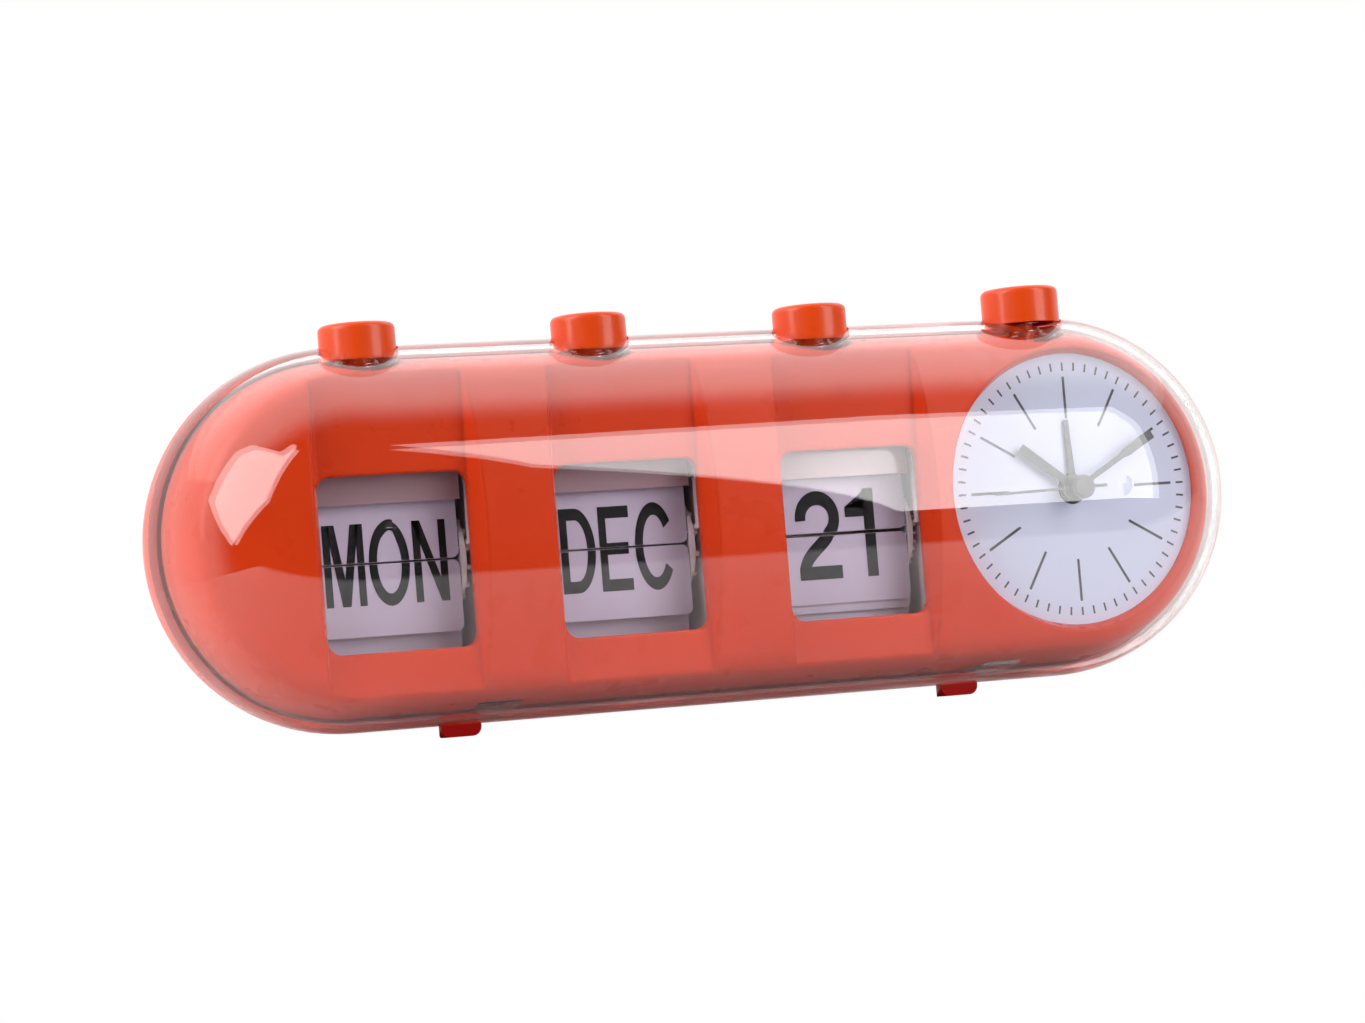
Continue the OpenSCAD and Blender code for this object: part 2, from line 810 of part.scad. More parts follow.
module third_wheel() {
    color("white") dial_frame() translate(third_at) {
        gear(60, 7.5, 2.4, 3.2, -90);
        gear(8, 0.9444, 3.1, 6.4, gap_at(-90, 8));
        rod(second_shaft_r, case_back + 0.3, 3);
    }
}

module centre_wheel() {
    color("white") dial_frame() difference() {
        union() {
            gear(64, 7.5556, 5, 6, 90);
            gear(12, 2.4, 5.9, 8.2, gap_at(motion_angle, 12));
            rod(minute_tube_r, 8, minute_hand_z + hand_t + 0.2);
        }
        rod(second_shaft_r + fit_gap, 0, 30);
    }
}

module motion_wheel() {
    color("white") dial_frame() translate(motion_at) {
        gear(36, 7.2, 6.9, 7.7, motion_angle + 180);
        gear(10, 1.92, 7.6, 9.8, gap_at(motion_angle + 180, 10));
        rod(second_shaft_r, case_back + 0.3, 7.2);
    }
}

module hour_wheel() {
    color("white") dial_frame() difference() {
        union() {
            gear(40, 7.68, 8.6, 9.6, motion_angle);
            rod(hour_tube_r, 9.5, hour_hand_z + hand_t + 0.2);
        }
        rod(minute_tube_r + fit_gap, 0, 30);
    }
}

module alarm_wheel() {
    color("white") dial_frame() difference() {
        union() {
            gear(60, 11.52, 10.4, 11.4, 180);
            rod(alarm_tube_r, 11.3, alarm_hand_z + hand_t + 0.2);
        }
        rod(hour_tube_r + fit_gap, 0, 30);
    }
}

module knob(r) {
    difference() {
        rod(r, -15.5, -9.2);
        for (a = [0 : 20 : 340]) rotate([0, 0, a]) translate([r + 0.25, 0, -16])
            cylinder(r = 0.6, h = 7.5, $fn = 16);
    }
}

module time_knob() {
    color("dimgray") dial_frame() translate(time_knob_at) {
        gear(12, 2.4, 6.7, 7.9, 180);
        rod(1, -9.5, 7);
        knob(5.4);
    }
}

module alarm_knob() {
    color("dimgray") dial_frame() translate(alarm_knob_at) {
        gear(20, 3.84, 10.2, 11.6, gap_at(0, 20));
        rod(1, -9.5, 11);
        knob(5.2);
    }
}

module coil() {
    color("peru") dial_frame() translate([0, -17, 1]) {
        rotate([0, 90, 0]) cylinder(r = 2.5, h = 15, center = true);
        for (side = [-1, 1]) translate([side * 8, 0, 0]) cube([1.2, 7, 6], center = true);
    }
}

module rotor() {
    color("dimgray") dial_frame() translate([13, -16, 0]) {
        rod(2.2, -1, 2);
        rod(second_shaft_r, case_back + 0.3, 3);
    }
}

module circuit_board() {
    color("seagreen") dial_frame() {
        translate([-20.5, 5, -2.6]) cube([13, 14, 1]);
        translate([-15, 13, -1.7]) rod(2.5, 0, 1.2);
    }
}

module buzzer() {
    color("gold") dial_frame() translate([14.4, 13.4, -2.8]) {
        rod(6, 0, 2.6);
        rod(1.6, 2.5, 3);
    }
}

// ===================== battery =====================

cell_z = -15.4;
cell_r = 7.15;
cell_half = 24.6;

module battery() {
    color("darkslategray") face() translate([dial_x, 0, 0]) upright(0, cell_z) {
        rod(cell_r, -cell_half, cell_half);
        rod(2.6, cell_half - 0.1, cell_half + 0.7);
    }
}

module battery_contacts() {
    color("silver") face() translate([dial_x, 0, 0]) upright(0, cell_z) {
        translate([-5.5, -5, cell_half_h - 0.55]) cube([11, 10, 0.5]);
        rod(3, cell_half + 0.8, cell_half_h - 0.5);
        translate([-5.5, -5, -cell_half_h + 0.05]) cube([11, 10, 0.5]);
        translate([0, 0, -cell_half_h + 0.5])
            cylinder(r1 = 4.2, r2 = 2.4, h = cell_half_h - cell_half - 0.6);
    }
}

module battery_door() {
    color("orangered") face() translate([dial_x, 0, 0]) {
        translate([-8.9, hinge_y, bay_back - 1.9]) cube([17.8, 27.6 - hinge_y, 1.5]);
        translate([0, hinge_y, hinge_z]) rotate([0, 90, 0]) {
            cylinder(r = 0.95, h = 17.8, center = true);
            cylinder(r = hinge_pin_r, h = 21.4, center = true);
        }
        for (k = [0 : 4]) translate([-5, 20 + k * 1.2, bay_back - 2.2]) cube([10, 0.5, 0.6]);
    }
}

// ===================== drawing =====================

day = 0;
month = 1;
date = 2;

rear_shell();
front_cover();
bezel();
feet();
case_screws();
frame_screws();
battery_door();
battery();
battery_contacts();
dial();
movement_front();
movement_back();
second_wheel();
third_wheel();
centre_wheel();
motion_wheel();
hour_wheel();
alarm_wheel();
coil();
rotor();
circuit_board();
buzzer();
hour_hand();
minute_hand();
second_hand();
alarm_hand();
time_knob();
alarm_knob();
button(0);  // button_day
button(1);  // button_month
button(2);  // button_date
button(3);  // button_alarm
button_spring(0);  // spring_day
button_spring(1);  // spring_month
button_spring(2);  // spring_date
button_spring(3);  // spring_alarm

drum_frame(day, day_step);  // frame_day
flap_leaf(day);  // leaf_day
drum(day, day_flaps);  // drum_day
flap_stack(day, day_flaps);  // flaps_day
one_flap(day, day_step, day_step / 2, 90);  // top_flap_day
one_flap(day, day_step, 1.5 * day_step, flap_lean(1, day_flaps));  // next_flap_day
one_flap(day, day_step, -day_step / 2, 270);  // low_flap_day
pusher(day, day_flaps);  // pusher_day

drum_frame(month, month_step);  // frame_month
flap_leaf(month);  // leaf_month
drum(month, month_flaps);  // drum_month
flap_stack(month, month_flaps);  // flaps_month
one_flap(month, month_step, month_step / 2, 90);  // top_flap_month
one_flap(month, month_step, 1.5 * month_step, flap_lean(1, month_flaps));  // next_flap_month
one_flap(month, month_step, -month_step / 2, 270);  // low_flap_month
pusher(month, month_flaps);  // pusher_month

drum_frame(date, date_step);  // frame_date
flap_leaf(date);  // leaf_date
drum(date, date_flaps);  // drum_date
flap_stack(date, date_flaps);  // flaps_date
one_flap(date, date_step, date_step / 2, 90);  // top_flap_date
one_flap(date, date_step, 1.5 * date_step, flap_lean(1, date_flaps));  // next_flap_date
one_flap(date, date_step, -date_step / 2, 270);  // low_flap_date
pusher(date, date_flaps);  // pusher_date
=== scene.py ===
"""Looks, printing, light and camera of the flip calendar alarm clock.

The CAD frame gives every solid. This script adds the printing on the flaps and the dial, the
materials, the softboxes of a small product studio and the camera.

Points are written in the "face frame", in millimetres: x to the right, y up from the case's
axis, z forward, towards the viewer. face_point() turns one into the model's own frame.
"""

import json
import math

import bpy
from mathutils import Matrix, Vector


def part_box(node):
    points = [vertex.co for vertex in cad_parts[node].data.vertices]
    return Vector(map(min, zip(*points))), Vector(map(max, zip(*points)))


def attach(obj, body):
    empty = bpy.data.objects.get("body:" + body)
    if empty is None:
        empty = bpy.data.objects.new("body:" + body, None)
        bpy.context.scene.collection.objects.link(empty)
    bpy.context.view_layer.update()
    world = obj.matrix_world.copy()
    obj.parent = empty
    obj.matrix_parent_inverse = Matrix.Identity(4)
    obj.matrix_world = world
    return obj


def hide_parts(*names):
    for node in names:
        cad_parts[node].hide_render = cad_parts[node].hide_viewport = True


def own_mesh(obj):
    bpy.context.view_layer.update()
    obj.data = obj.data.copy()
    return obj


MM = 0.001
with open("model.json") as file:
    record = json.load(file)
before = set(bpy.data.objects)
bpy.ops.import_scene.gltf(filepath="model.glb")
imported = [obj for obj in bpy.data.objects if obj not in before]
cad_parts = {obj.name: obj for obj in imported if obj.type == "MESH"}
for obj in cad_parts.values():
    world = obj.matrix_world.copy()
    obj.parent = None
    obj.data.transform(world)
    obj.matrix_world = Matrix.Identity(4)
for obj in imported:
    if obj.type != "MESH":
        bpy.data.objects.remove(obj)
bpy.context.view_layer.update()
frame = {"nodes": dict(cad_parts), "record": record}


# ---------------------------------------------------------------- places in the frame

shell_low, shell_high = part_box("rear_shell")
AXIS_H = (shell_low.z + shell_high.z) / 2 / MM
dial_low, dial_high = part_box("dial")
DIAL_X = (dial_low.x + dial_high.x) / 2 / MM
DIAL_Y = (dial_low.z + dial_high.z) / 2 / MM - AXIS_H
DIAL_FRONT = -dial_low.y / MM
MODULES = ("day", "month", "date")
FLAP_COUNT = {"day": 14, "month": 12, "date": 31}
# Radius of the circle of flap pins on each drum
PIN_CIRCLE = 9.5
# How far printing stands off its flap or dial
PRINT_LIFT = 0.012


def face_point(x, y, z):
    """A face-frame point in millimetres, in the model's own frame and in metres."""
    return Vector((x, -z, y + AXIS_H)) * MM


def flap_places(module):
    """Middle x, split height, front and back surface, and pin height of a module's flaps."""
    top_low, top_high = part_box("top_flap_" + module)
    low_low, low_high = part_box("low_flap_" + module)
    x = (top_low.x + top_high.x) / 2 / MM
    split = (top_high.z + low_low.z) / 2 / MM - AXIS_H
    front = -top_low.y / MM
    back = -top_high.y / MM
    pins = PIN_CIRCLE * math.sin(math.pi / FLAP_COUNT[module])
    return x, split, front, back, pins


# ---------------------------------------------------------------- mesh helpers

def add_object(name, points, faces, material):
    """A mesh object in the scene, with one material. Faces are lists of point numbers."""
    mesh = bpy.data.meshes.new(name)
    mesh.from_pydata(points, [], faces)
    mesh.materials.append(material)
    made = bpy.data.objects.new(name, mesh)
    bpy.context.scene.collection.objects.link(made)
    return made


def add_print(name, outlines, material, body):
    """A printed piece of separate flat polygons, each a list of points in the model's frame."""
    points = []
    faces = []
    for outline in outlines:
        faces.append(list(range(len(points), len(points) + len(outline))))
        points.extend(outline)
    piece = add_object(name, points, faces, material)
    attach(piece, body)


def clip(polygon, limit, keep_above):
    """The part of a convex 2D polygon above or below the height limit."""
    sign = 1 if keep_above else -1
    kept = []
    for a, b in zip(polygon, polygon[1:] + polygon[:1]):
        side_a = sign * (a[1] - limit)
        side_b = sign * (b[1] - limit)
        if side_a >= 0:
            kept.append(a)
        if side_a * side_b < 0:
            t = side_a / (side_a - side_b)
            kept.append((a[0] + t * (b[0] - a[0]), a[1] + t * (b[1] - a[1])))
    return kept if len(kept) > 2 else None


# ---------------------------------------------------------------- bold letters and numbers
# A glyph is drawn one unit high, from convex polygons that may overlap.

# Width of an upright stroke
STEM = 0.158


def bar(x0, y0, x1, y1):
    """A level or upright stroke between two corners."""
    return [(x0, y0), (x1, y0), (x1, y1), (x0, y1)]


def slanted(x_low, x_high, width):
    """A straight stroke from the baseline to the cap line."""
    return [(x_low, 0), (x_low + width, 0), (x_high + width, 1), (x_high, 1)]


def ring(cx, cy, rx, ry, start, end, stem_x=STEM, stem_y=STEM, steps=40):
    """Part of an oval stroke with outer half-sizes rx and ry, as a row of small quads."""
    def at(t, inset):
        a = math.radians(start + (end - start) * t / steps)
        return (cx + (rx - inset * stem_x) * math.cos(a), cy + (ry - inset * stem_y) * math.sin(a))

    return [[at(t, 0), at(t + 1, 0), at(t + 1, 1), at(t, 1)] for t in range(steps)]


def path_stroke(points, width):
    """A stroke of even width along a smooth run of points."""
    edges = []
    for k, point in enumerate(points):
        a = points[max(k - 1, 0)]
        b = points[min(k + 1, len(points) - 1)]
        dx, dy = b[0] - a[0], b[1] - a[1]
        size = math.hypot(dx, dy)
        nx, ny = -dy / size * width / 2, dx / size * width / 2
        edges.append(((point[0] + nx, point[1] + ny), (point[0] - nx, point[1] - ny)))
    return [[a, c, d, b] for (a, b), (c, d) in zip(edges, edges[1:])]


def bezier(start, bend_a, bend_b, end, steps):
    """Points of a cubic curve, without its start."""
    points = []
    for step in range(1, steps + 1):
        t = step / steps
        u = 1 - t
        weights = (u ** 3, 3 * u * u * t, 3 * u * t * t, t ** 3)
        points.append(tuple(sum(w * p[axis] for w, p in zip(weights, (start, bend_a, bend_b, end)))
                            for axis in (0, 1)))
    return points


def glyph_two():
    """The numeral 2: a hooked bowl, a neck swept down to the left, and a foot."""
    bowl = []
    for step in range(33):
        a = math.radians(186 - step * 7.4)
        bowl.append((0.33 + 0.253 * math.cos(a), 0.693 + 0.228 * math.sin(a)))
    start = bowl[-1]
    neck = bezier(start, (start[0] - 0.055, start[1] - 0.115), (0.125, 0.30), (0.095, 0.1), 16)
    body = [clip(quad, 0, True) for quad in path_stroke(bowl + neck, STEM)]
    return [part for part in body if part] + [bar(0.016, 0, 0.652, 0.15)]


# Each glyph's width and parts
GLYPHS = {
    "M": (0.84, [bar(0, 0, 0.15, 1), bar(0.69, 0, 0.84, 1),
                 slanted(0.335, 0.085, 0.17), slanted(0.335, 0.585, 0.17)]),
    "O": (0.84, ring(0.42, 0.5, 0.42, 0.52, 0, 360, 0.17, 0.15, 72)),
    "N": (0.70, [bar(0, 0, 0.155, 1), bar(0.545, 0, 0.70, 1), slanted(0.53, 0, 0.17)]),
    "D": (0.73, [bar(0, 0, STEM, 1), bar(STEM, 0.86, 0.32, 1), bar(STEM, 0, 0.32, 0.14)]
          + ring(0.32, 0.5, 0.41, 0.5, -90, 90, 0.17, 0.14)),
    "E": (0.66, [bar(0, 0, STEM, 1), bar(STEM, 0.86, 0.65, 1), bar(STEM, 0.43, 0.61, 0.57),
                 bar(STEM, 0, 0.66, 0.14)]),
    "C": (0.77, ring(0.42, 0.5, 0.42, 0.52, 34, 326, 0.17, 0.15, 56)),
    "T": (0.66, [bar(0, 0.86, 0.66, 1), bar(0.25, 0, 0.41, 0.86)]),
    "U": (0.70, [bar(0, 0.34, 0.16, 1), bar(0.54, 0.34, 0.70, 1)]
          + ring(0.35, 0.34, 0.35, 0.36, 180, 360, 0.16, 0.15)),
    "J": (0.56, [bar(0.40, 0.30, 0.56, 1)]
          + ring(0.28, 0.30, 0.28, 0.32, 180, 360, 0.16, 0.15)),
    "A": (0.74, [slanted(0, 0.28, 0.17), slanted(0.57, 0.29, 0.17), bar(0.16, 0.22, 0.58, 0.35)]),
    "2": (0.66, glyph_two()),
    "1": (0.44, [bar(0.28, 0, 0.44, 1), bar(0.30, 0.90, 0.44, 1.0),
                 [(0, 0.80), (0, 0.685), (0.29, 0.685), (0.29, 0.80)],
                 [(0, 0.80), (0.29, 0.78), (0.31, 1.0), (0.285, 0.97)],
                 [(0, 0.80), (0.29, 0.78), (0.285, 0.97), (0.21, 0.86)]]),
}


def word_polygons(word, x_left, x_right, y_mid, height, spacing=0.09):
    """Convex polygons of a word, stretched between x_left and x_right, in millimetres."""
    natural = sum(GLYPHS[c][0] for c in word) + spacing * (len(word) - 1)
    scale_x = (x_right - x_left) / natural
    cursor = x_left
    polygons = []
    for character in word:
        width, parts = GLYPHS[character]
        for part in parts:
            polygons.append([(cursor + px * scale_x, y_mid + (py - 0.5) * height)
                             for px, py in part])
        cursor += (width + spacing) * scale_x
    return polygons


# ---------------------------------------------------------------- node materials

def new_material(name):
    """A node material, with the parts that the recipes below work on."""
    material = bpy.data.materials.new(name)
    material.use_nodes = True
    nodes = material.node_tree.nodes
    shader = nodes["Principled BSDF"]
    return material, nodes, material.node_tree.links, shader


def add_noise(nodes, links, scale, detail=3.0, stretch=(1, 1, 1)):
    """A noise texture in the object's own coordinates; the objects sit at the origin."""
    place = nodes.new("ShaderNodeTexCoord")
    mapping = nodes.new("ShaderNodeMapping")
    mapping.inputs["Scale"].default_value = stretch
    noise = nodes.new("ShaderNodeTexNoise")
    noise.inputs["Scale"].default_value = scale
    noise.inputs["Detail"].default_value = detail
    links.new(place.outputs["Object"], mapping.inputs["Vector"])
    links.new(mapping.outputs["Vector"], noise.inputs["Vector"])
    return noise


def add_range(nodes, links, value, low, high):
    """The middle of a noise's values, spread from low to high."""
    spread = nodes.new("ShaderNodeMapRange")
    spread.inputs["From Min"].default_value = 0.3
    spread.inputs["From Max"].default_value = 0.7
    spread.inputs["To Min"].default_value = low
    spread.inputs["To Max"].default_value = high
    links.new(value, spread.inputs["Value"])
    return spread.outputs["Result"]


def add_mix(nodes, links, amount, color_a, color_b):
    """A colour that goes from a to b. A Mix node's colour sockets are numbers 6, 7 and 2."""
    mix = nodes.new("ShaderNodeMix")
    mix.data_type = "RGBA"
    mix.inputs[6].default_value = (*color_a, 1)
    mix.inputs[7].default_value = (*color_b, 1)
    links.new(amount, mix.inputs[0])
    return mix.outputs[2]


def add_math(nodes, links, operation, first, second):
    """A math node between two sockets, or a socket and a number."""
    step = nodes.new("ShaderNodeMath")
    step.operation = operation
    for socket, value in zip(step.inputs, (first, second)):
        if isinstance(value, bpy.types.NodeSocket):
            links.new(value, socket)
        else:
            socket.default_value = value
    return step.outputs["Value"]


def add_axis(nodes, links, axis):
    """The x, y or z of the shaded point; the objects sit at the origin."""
    place = nodes.new("ShaderNodeTexCoord")
    parts = nodes.new("ShaderNodeSeparateXYZ")
    links.new(place.outputs["Object"], parts.inputs["Vector"])
    return parts.outputs[axis]


def surface(name, color, rough, *, shade=0.92, grain=900, grain_depth=0.02, rough_swing=0.05,
            metal=0.0, coat=0.0, specular=0.5, subsurface=0.0, stretch=(1, 1, 1), edge=0.0):
    """A moulded, painted or metal surface: colour drift, uneven gloss and a fine skin."""
    material, nodes, links, shader = new_material(name)
    drift = add_noise(nodes, links, 35, 4)
    darker = tuple(c * shade for c in color)
    amount = add_range(nodes, links, drift.outputs["Fac"], 0, 1)
    links.new(add_mix(nodes, links, amount, color, darker), shader.inputs["Base Color"])
    gloss = add_noise(nodes, links, 120, 5, stretch)
    links.new(add_range(nodes, links, gloss.outputs["Fac"], rough - rough_swing,
                        rough + rough_swing), shader.inputs["Roughness"])
    skin = add_noise(nodes, links, grain, 2, stretch)
    bump = nodes.new("ShaderNodeBump")
    bump.inputs["Strength"].default_value = grain_depth
    bump.inputs["Distance"].default_value = 0.0002
    links.new(skin.outputs["Fac"], bump.inputs["Height"])
    links.new(bump.outputs["Normal"], shader.inputs["Normal"])
    if edge:
        rounding = nodes.new("ShaderNodeBevel")
        rounding.samples = 8
        rounding.inputs["Radius"].default_value = edge
        links.new(rounding.outputs["Normal"], bump.inputs["Normal"])
    shader.inputs["Metallic"].default_value = metal
    shader.inputs["Coat Weight"].default_value = coat
    shader.inputs["Coat Roughness"].default_value = 0.05
    shader.inputs["Specular IOR Level"].default_value = specular
    shader.inputs["Subsurface Weight"].default_value = subsurface
    shader.inputs["Subsurface Scale"].default_value = 0.004
    return material


def clear_plastic(name, tint, rough):
    """Clear moulded plastic. It bends what is behind it only a little, and a coat with
    acrylic's own index mirrors the room. Light that only passes through casts no shadow."""
    material, nodes, links, shader = new_material(name)
    shader.inputs["Base Color"].default_value = (*tint, 1)
    shader.inputs["Transmission Weight"].default_value = 1
    shader.inputs["IOR"].default_value = 1.045
    shader.inputs["Coat Weight"].default_value = 1
    shader.inputs["Coat IOR"].default_value = 1.49
    shader.inputs["Coat Roughness"].default_value = 0.01
    gloss = add_noise(nodes, links, 60, 3)
    links.new(add_range(nodes, links, gloss.outputs["Fac"], rough * 0.6, rough * 1.6),
              shader.inputs["Roughness"])
    waves = add_noise(nodes, links, 18, 1)
    bump = nodes.new("ShaderNodeBump")
    bump.inputs["Strength"].default_value = 0.02
    bump.inputs["Distance"].default_value = 0.0005
    links.new(waves.outputs["Fac"], bump.inputs["Height"])
    links.new(bump.outputs["Normal"], shader.inputs["Normal"])
    rays = nodes.new("ShaderNodeLightPath").outputs
    passing = add_math(nodes, links, "MAXIMUM", rays["Is Shadow Ray"], rays["Is Diffuse Ray"])
    through = nodes.new("ShaderNodeBsdfTransparent")
    through.inputs["Color"].default_value = (0.93, 0.93, 0.94, 1)
    either = nodes.new("ShaderNodeMixShader")
    links.new(passing, either.inputs["Fac"])
    links.new(shader.outputs["BSDF"], either.inputs[1])
    links.new(through.outputs["BSDF"], either.inputs[2])
    links.new(either.outputs["Shader"], nodes["Material Output"].inputs["Surface"])
    return material


def striped_metal(name, color, rough):
    """Drawn or turned metal with fine scratches along x."""
    return surface(name, color, rough, metal=1, grain=600, grain_depth=0.08, shade=0.85,
                   stretch=(0.1, 1, 1), rough_swing=0.08)


def cell_sleeve(name):
    """A battery's printed sleeve: dark over most of its length, copper at the plus end."""
    material, nodes, links, shader = new_material(name)
    low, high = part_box("battery")
    band_start = low.z + 0.7 * (high.z - low.z)
    band = add_math(nodes, links, "GREATER_THAN", add_axis(nodes, links, "Z"), band_start)
    links.new(add_mix(nodes, links, band, (0.015, 0.018, 0.022), (0.55, 0.25, 0.09)),
              shader.inputs["Base Color"])
    smear = add_noise(nodes, links, 150, 4)
    links.new(add_range(nodes, links, smear.outputs["Fac"], 0.25, 0.4), shader.inputs["Roughness"])
    return material


ORANGE = (0.76, 0.048, 0.005)
MATERIALS = {
    "shell_orange": surface("shell_orange", ORANGE, 0.3, coat=0.15, grain=1400),
    "bezel_orange": surface("bezel_orange", ORANGE, 0.3, grain=1400, grain_depth=0.04,
                            specular=0.15, edge=0.0012),
    "cover_clear": clear_plastic("cover_clear", (0.99, 0.985, 0.985), 0.012),
    "feet_orange": surface("feet_orange", (0.60, 0.005, 0.003), 0.45, grain=1400, specular=0.08),
    "door_orange": surface("door_orange", ORANGE, 0.34, grain=1400),
    "button_orange": surface("button_orange", (0.78, 0.067, 0.006), 0.32, coat=0.15, grain=1800,
                             specular=0.3),
    "flap_white": surface("flap_white", (0.61, 0.535, 0.69), 0.5, shade=0.97, grain=2400,
                          grain_depth=0.05),
    # The leaf is clear plastic, drawn here as an opaque dusky mauve: painted shade, standing in
    # for the shaded white flap seen through it.
    "leaf_clear": surface("leaf_clear", (0.44, 0.30, 0.34), 0.16, shade=0.9, coat=0.4),
    "frame_grey": surface("frame_grey", (0.85, 0.70, 0.72), 0.4, shade=0.9),
    "drum_white": surface("drum_white", (0.88, 0.80, 0.81), 0.38, shade=0.9),
    "dial_white": surface("dial_white", (0.66, 0.69, 0.86), 0.55, shade=0.985, grain=3000,
                          grain_depth=0.03),
    "hand_grey": surface("hand_grey", (0.09, 0.09, 0.095), 0.42, shade=0.94, grain=2500),
    "movement_black": surface("movement_black", (0.02, 0.02, 0.022), 0.5),
    "gear_white": surface("gear_white", (0.72, 0.71, 0.66), 0.4, subsurface=0.1),
    "knob_black": surface("knob_black", (0.018, 0.018, 0.02), 0.45, grain_depth=0.05),
    "copper": striped_metal("copper", (0.75, 0.30, 0.14), 0.3),
    "magnet_grey": surface("magnet_grey", (0.10, 0.10, 0.11), 0.5, metal=0.6),
    "board_green": surface("board_green", (0.015, 0.12, 0.04), 0.35, coat=0.3),
    "buzzer_brass": striped_metal("buzzer_brass", (0.78, 0.56, 0.22), 0.3),
    "steel": striped_metal("steel", (0.58, 0.58, 0.60), 0.28),
    "contact_steel": striped_metal("contact_steel", (0.70, 0.70, 0.71), 0.22),
    "battery_sleeve": cell_sleeve("battery_sleeve"),
}
INK = surface("flap_ink", (0.006, 0.005, 0.007), 0.5, shade=0.8, grain=2400, grain_depth=0.04,
              specular=0.2)
DIAL_INK = surface("dial_ink", (0.045, 0.042, 0.055), 0.45, shade=0.85, grain=2600)

for part in frame["record"]["subparts"]:
    mesh = frame["nodes"][part["node"]].data
    mesh.materials.clear()
    mesh.materials.append(MATERIALS[part["material_slot"]])


# ---------------------------------------------------------------- printing on the flaps

# Word on show, word of the next flap, the first word's left and right end, its height
WORDS = {
    "day": ("MON", "TUE", -13.4, 13.2, 16.9),
    "month": ("DEC", "JAN", -13.0, 12.0, 17.9),
    "date": ("21", "22", -10.3, 8.5, 19.1),
}
# How far the middle of a word lies below the split between its flaps
TEXT_DROP = 0.15
# Bare strip between the print and a flap's pinned edge
EDGE_MARGIN = 0.05


def print_half(name, polygons, limit, keep_above, to_model, body):
    """The half of a word above or below the limit, laid on its flap."""
    halves = [clip(polygon, limit, keep_above) for polygon in polygons]
    outlines = [[to_model(px, py) for px, py in half] for half in halves if half]
    add_print(name, outlines, INK, body)


def print_module(module):
    """The two words of one module: on the front of its upper and lower flap, on the back of
    the upper one, which shows once it has fallen, and on the front of the flap behind it."""
    shown, following, left, right, height = WORDS[module]
    x, split, front, back, pins = flap_places(module)
    top_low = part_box("top_flap_" + module)[0].z / MM - AXIS_H
    gap = top_low - split + EDGE_MARGIN
    lean = math.pi / (FLAP_COUNT[module] - 1)
    step = 2 * math.pi / FLAP_COUNT[module]
    plane = (front + back) / 2
    axle = plane - PIN_CIRCLE * math.cos(step / 2)
    next_pin_y = split + PIN_CIRCLE * math.sin(1.5 * step)
    next_pin_z = axle + PIN_CIRCLE * math.cos(1.5 * step)

    def on_front(px, py):
        return face_point(px, py, front + PRINT_LIFT)

    def on_back(px, py):
        return face_point(px, 2 * split - py, back - PRINT_LIFT)

    def on_next(px, py):
        up = py - split - pins
        out = front - plane + PRINT_LIFT
        return face_point(px, next_pin_y + up * math.cos(lean) + out * math.sin(lean),
                          next_pin_z - up * math.sin(lean) + out * math.cos(lean))

    now, after = (word_polygons(word, x + left, x + right, split - TEXT_DROP, height)
                  for word in (shown, following))
    upper, lower = split + gap, split - gap
    print_half("ink_top_" + module, now, upper, True, on_front, module + "_top")
    print_half("ink_low_" + module, now, lower, False, on_front, module + "_low")
    print_half("ink_back_" + module, after, lower, False, on_back, module + "_top")
    print_half("ink_next_" + module, after, upper, True, on_next, module + "_next")


for module in MODULES:
    print_module(module)


# ---------------------------------------------------------------- printing on the dial

# Inner radius, outer radius and width of a minute mark and of an hour mark
MINUTE_MARK = (26, 27.8, 0.44)
HOUR_MARK = (15.5, 24.7, 0.6)


def radial_mark(clock_angle, r0, r1, width):
    """A mark that points away from the dial's middle; 0 degrees is at twelve."""
    a = math.radians(clock_angle)
    out = Vector((math.sin(a), math.cos(a)))
    side = Vector((out.y, -out.x)) * width / 2
    corners = (out * r0 - side, out * r0 + side, out * r1 + side, out * r1 - side)
    return [face_point(DIAL_X + c.x, DIAL_Y + c.y, DIAL_FRONT + PRINT_LIFT) for c in corners]


def print_dial():
    """Sixty short minute marks near the rim and twelve long hour marks inside them."""
    marks = [radial_mark(6 * k, *MINUTE_MARK) for k in range(60)]
    marks += [radial_mark(30 * k, *HOUR_MARK) for k in range(12)]
    add_print("dial_marks", marks, DIAL_INK, "case")


print_dial()


# ---------------------------------------------------------------- button springs

# Radius of the wire
SPRING_WIRE = 0.25 * MM
SPRING_TURNS = 6
COIL_STEPS = 24
WIRE_SIDES = 8


def coil_ring(k, centre, low_z, pitch, coil_radius):
    """The ring of wire points at step k of a spring that stands along z."""
    a = 2 * math.pi * k / COIL_STEPS
    height = low_z + pitch * k / COIL_STEPS
    around = []
    for side in range(WIRE_SIDES):
        b = 2 * math.pi * side / WIRE_SIDES
        r = coil_radius + SPRING_WIRE * math.cos(b)
        around.append((centre.x + r * math.cos(a), centre.y + r * math.sin(a),
                       height + SPRING_WIRE * math.sin(b)))
    return around


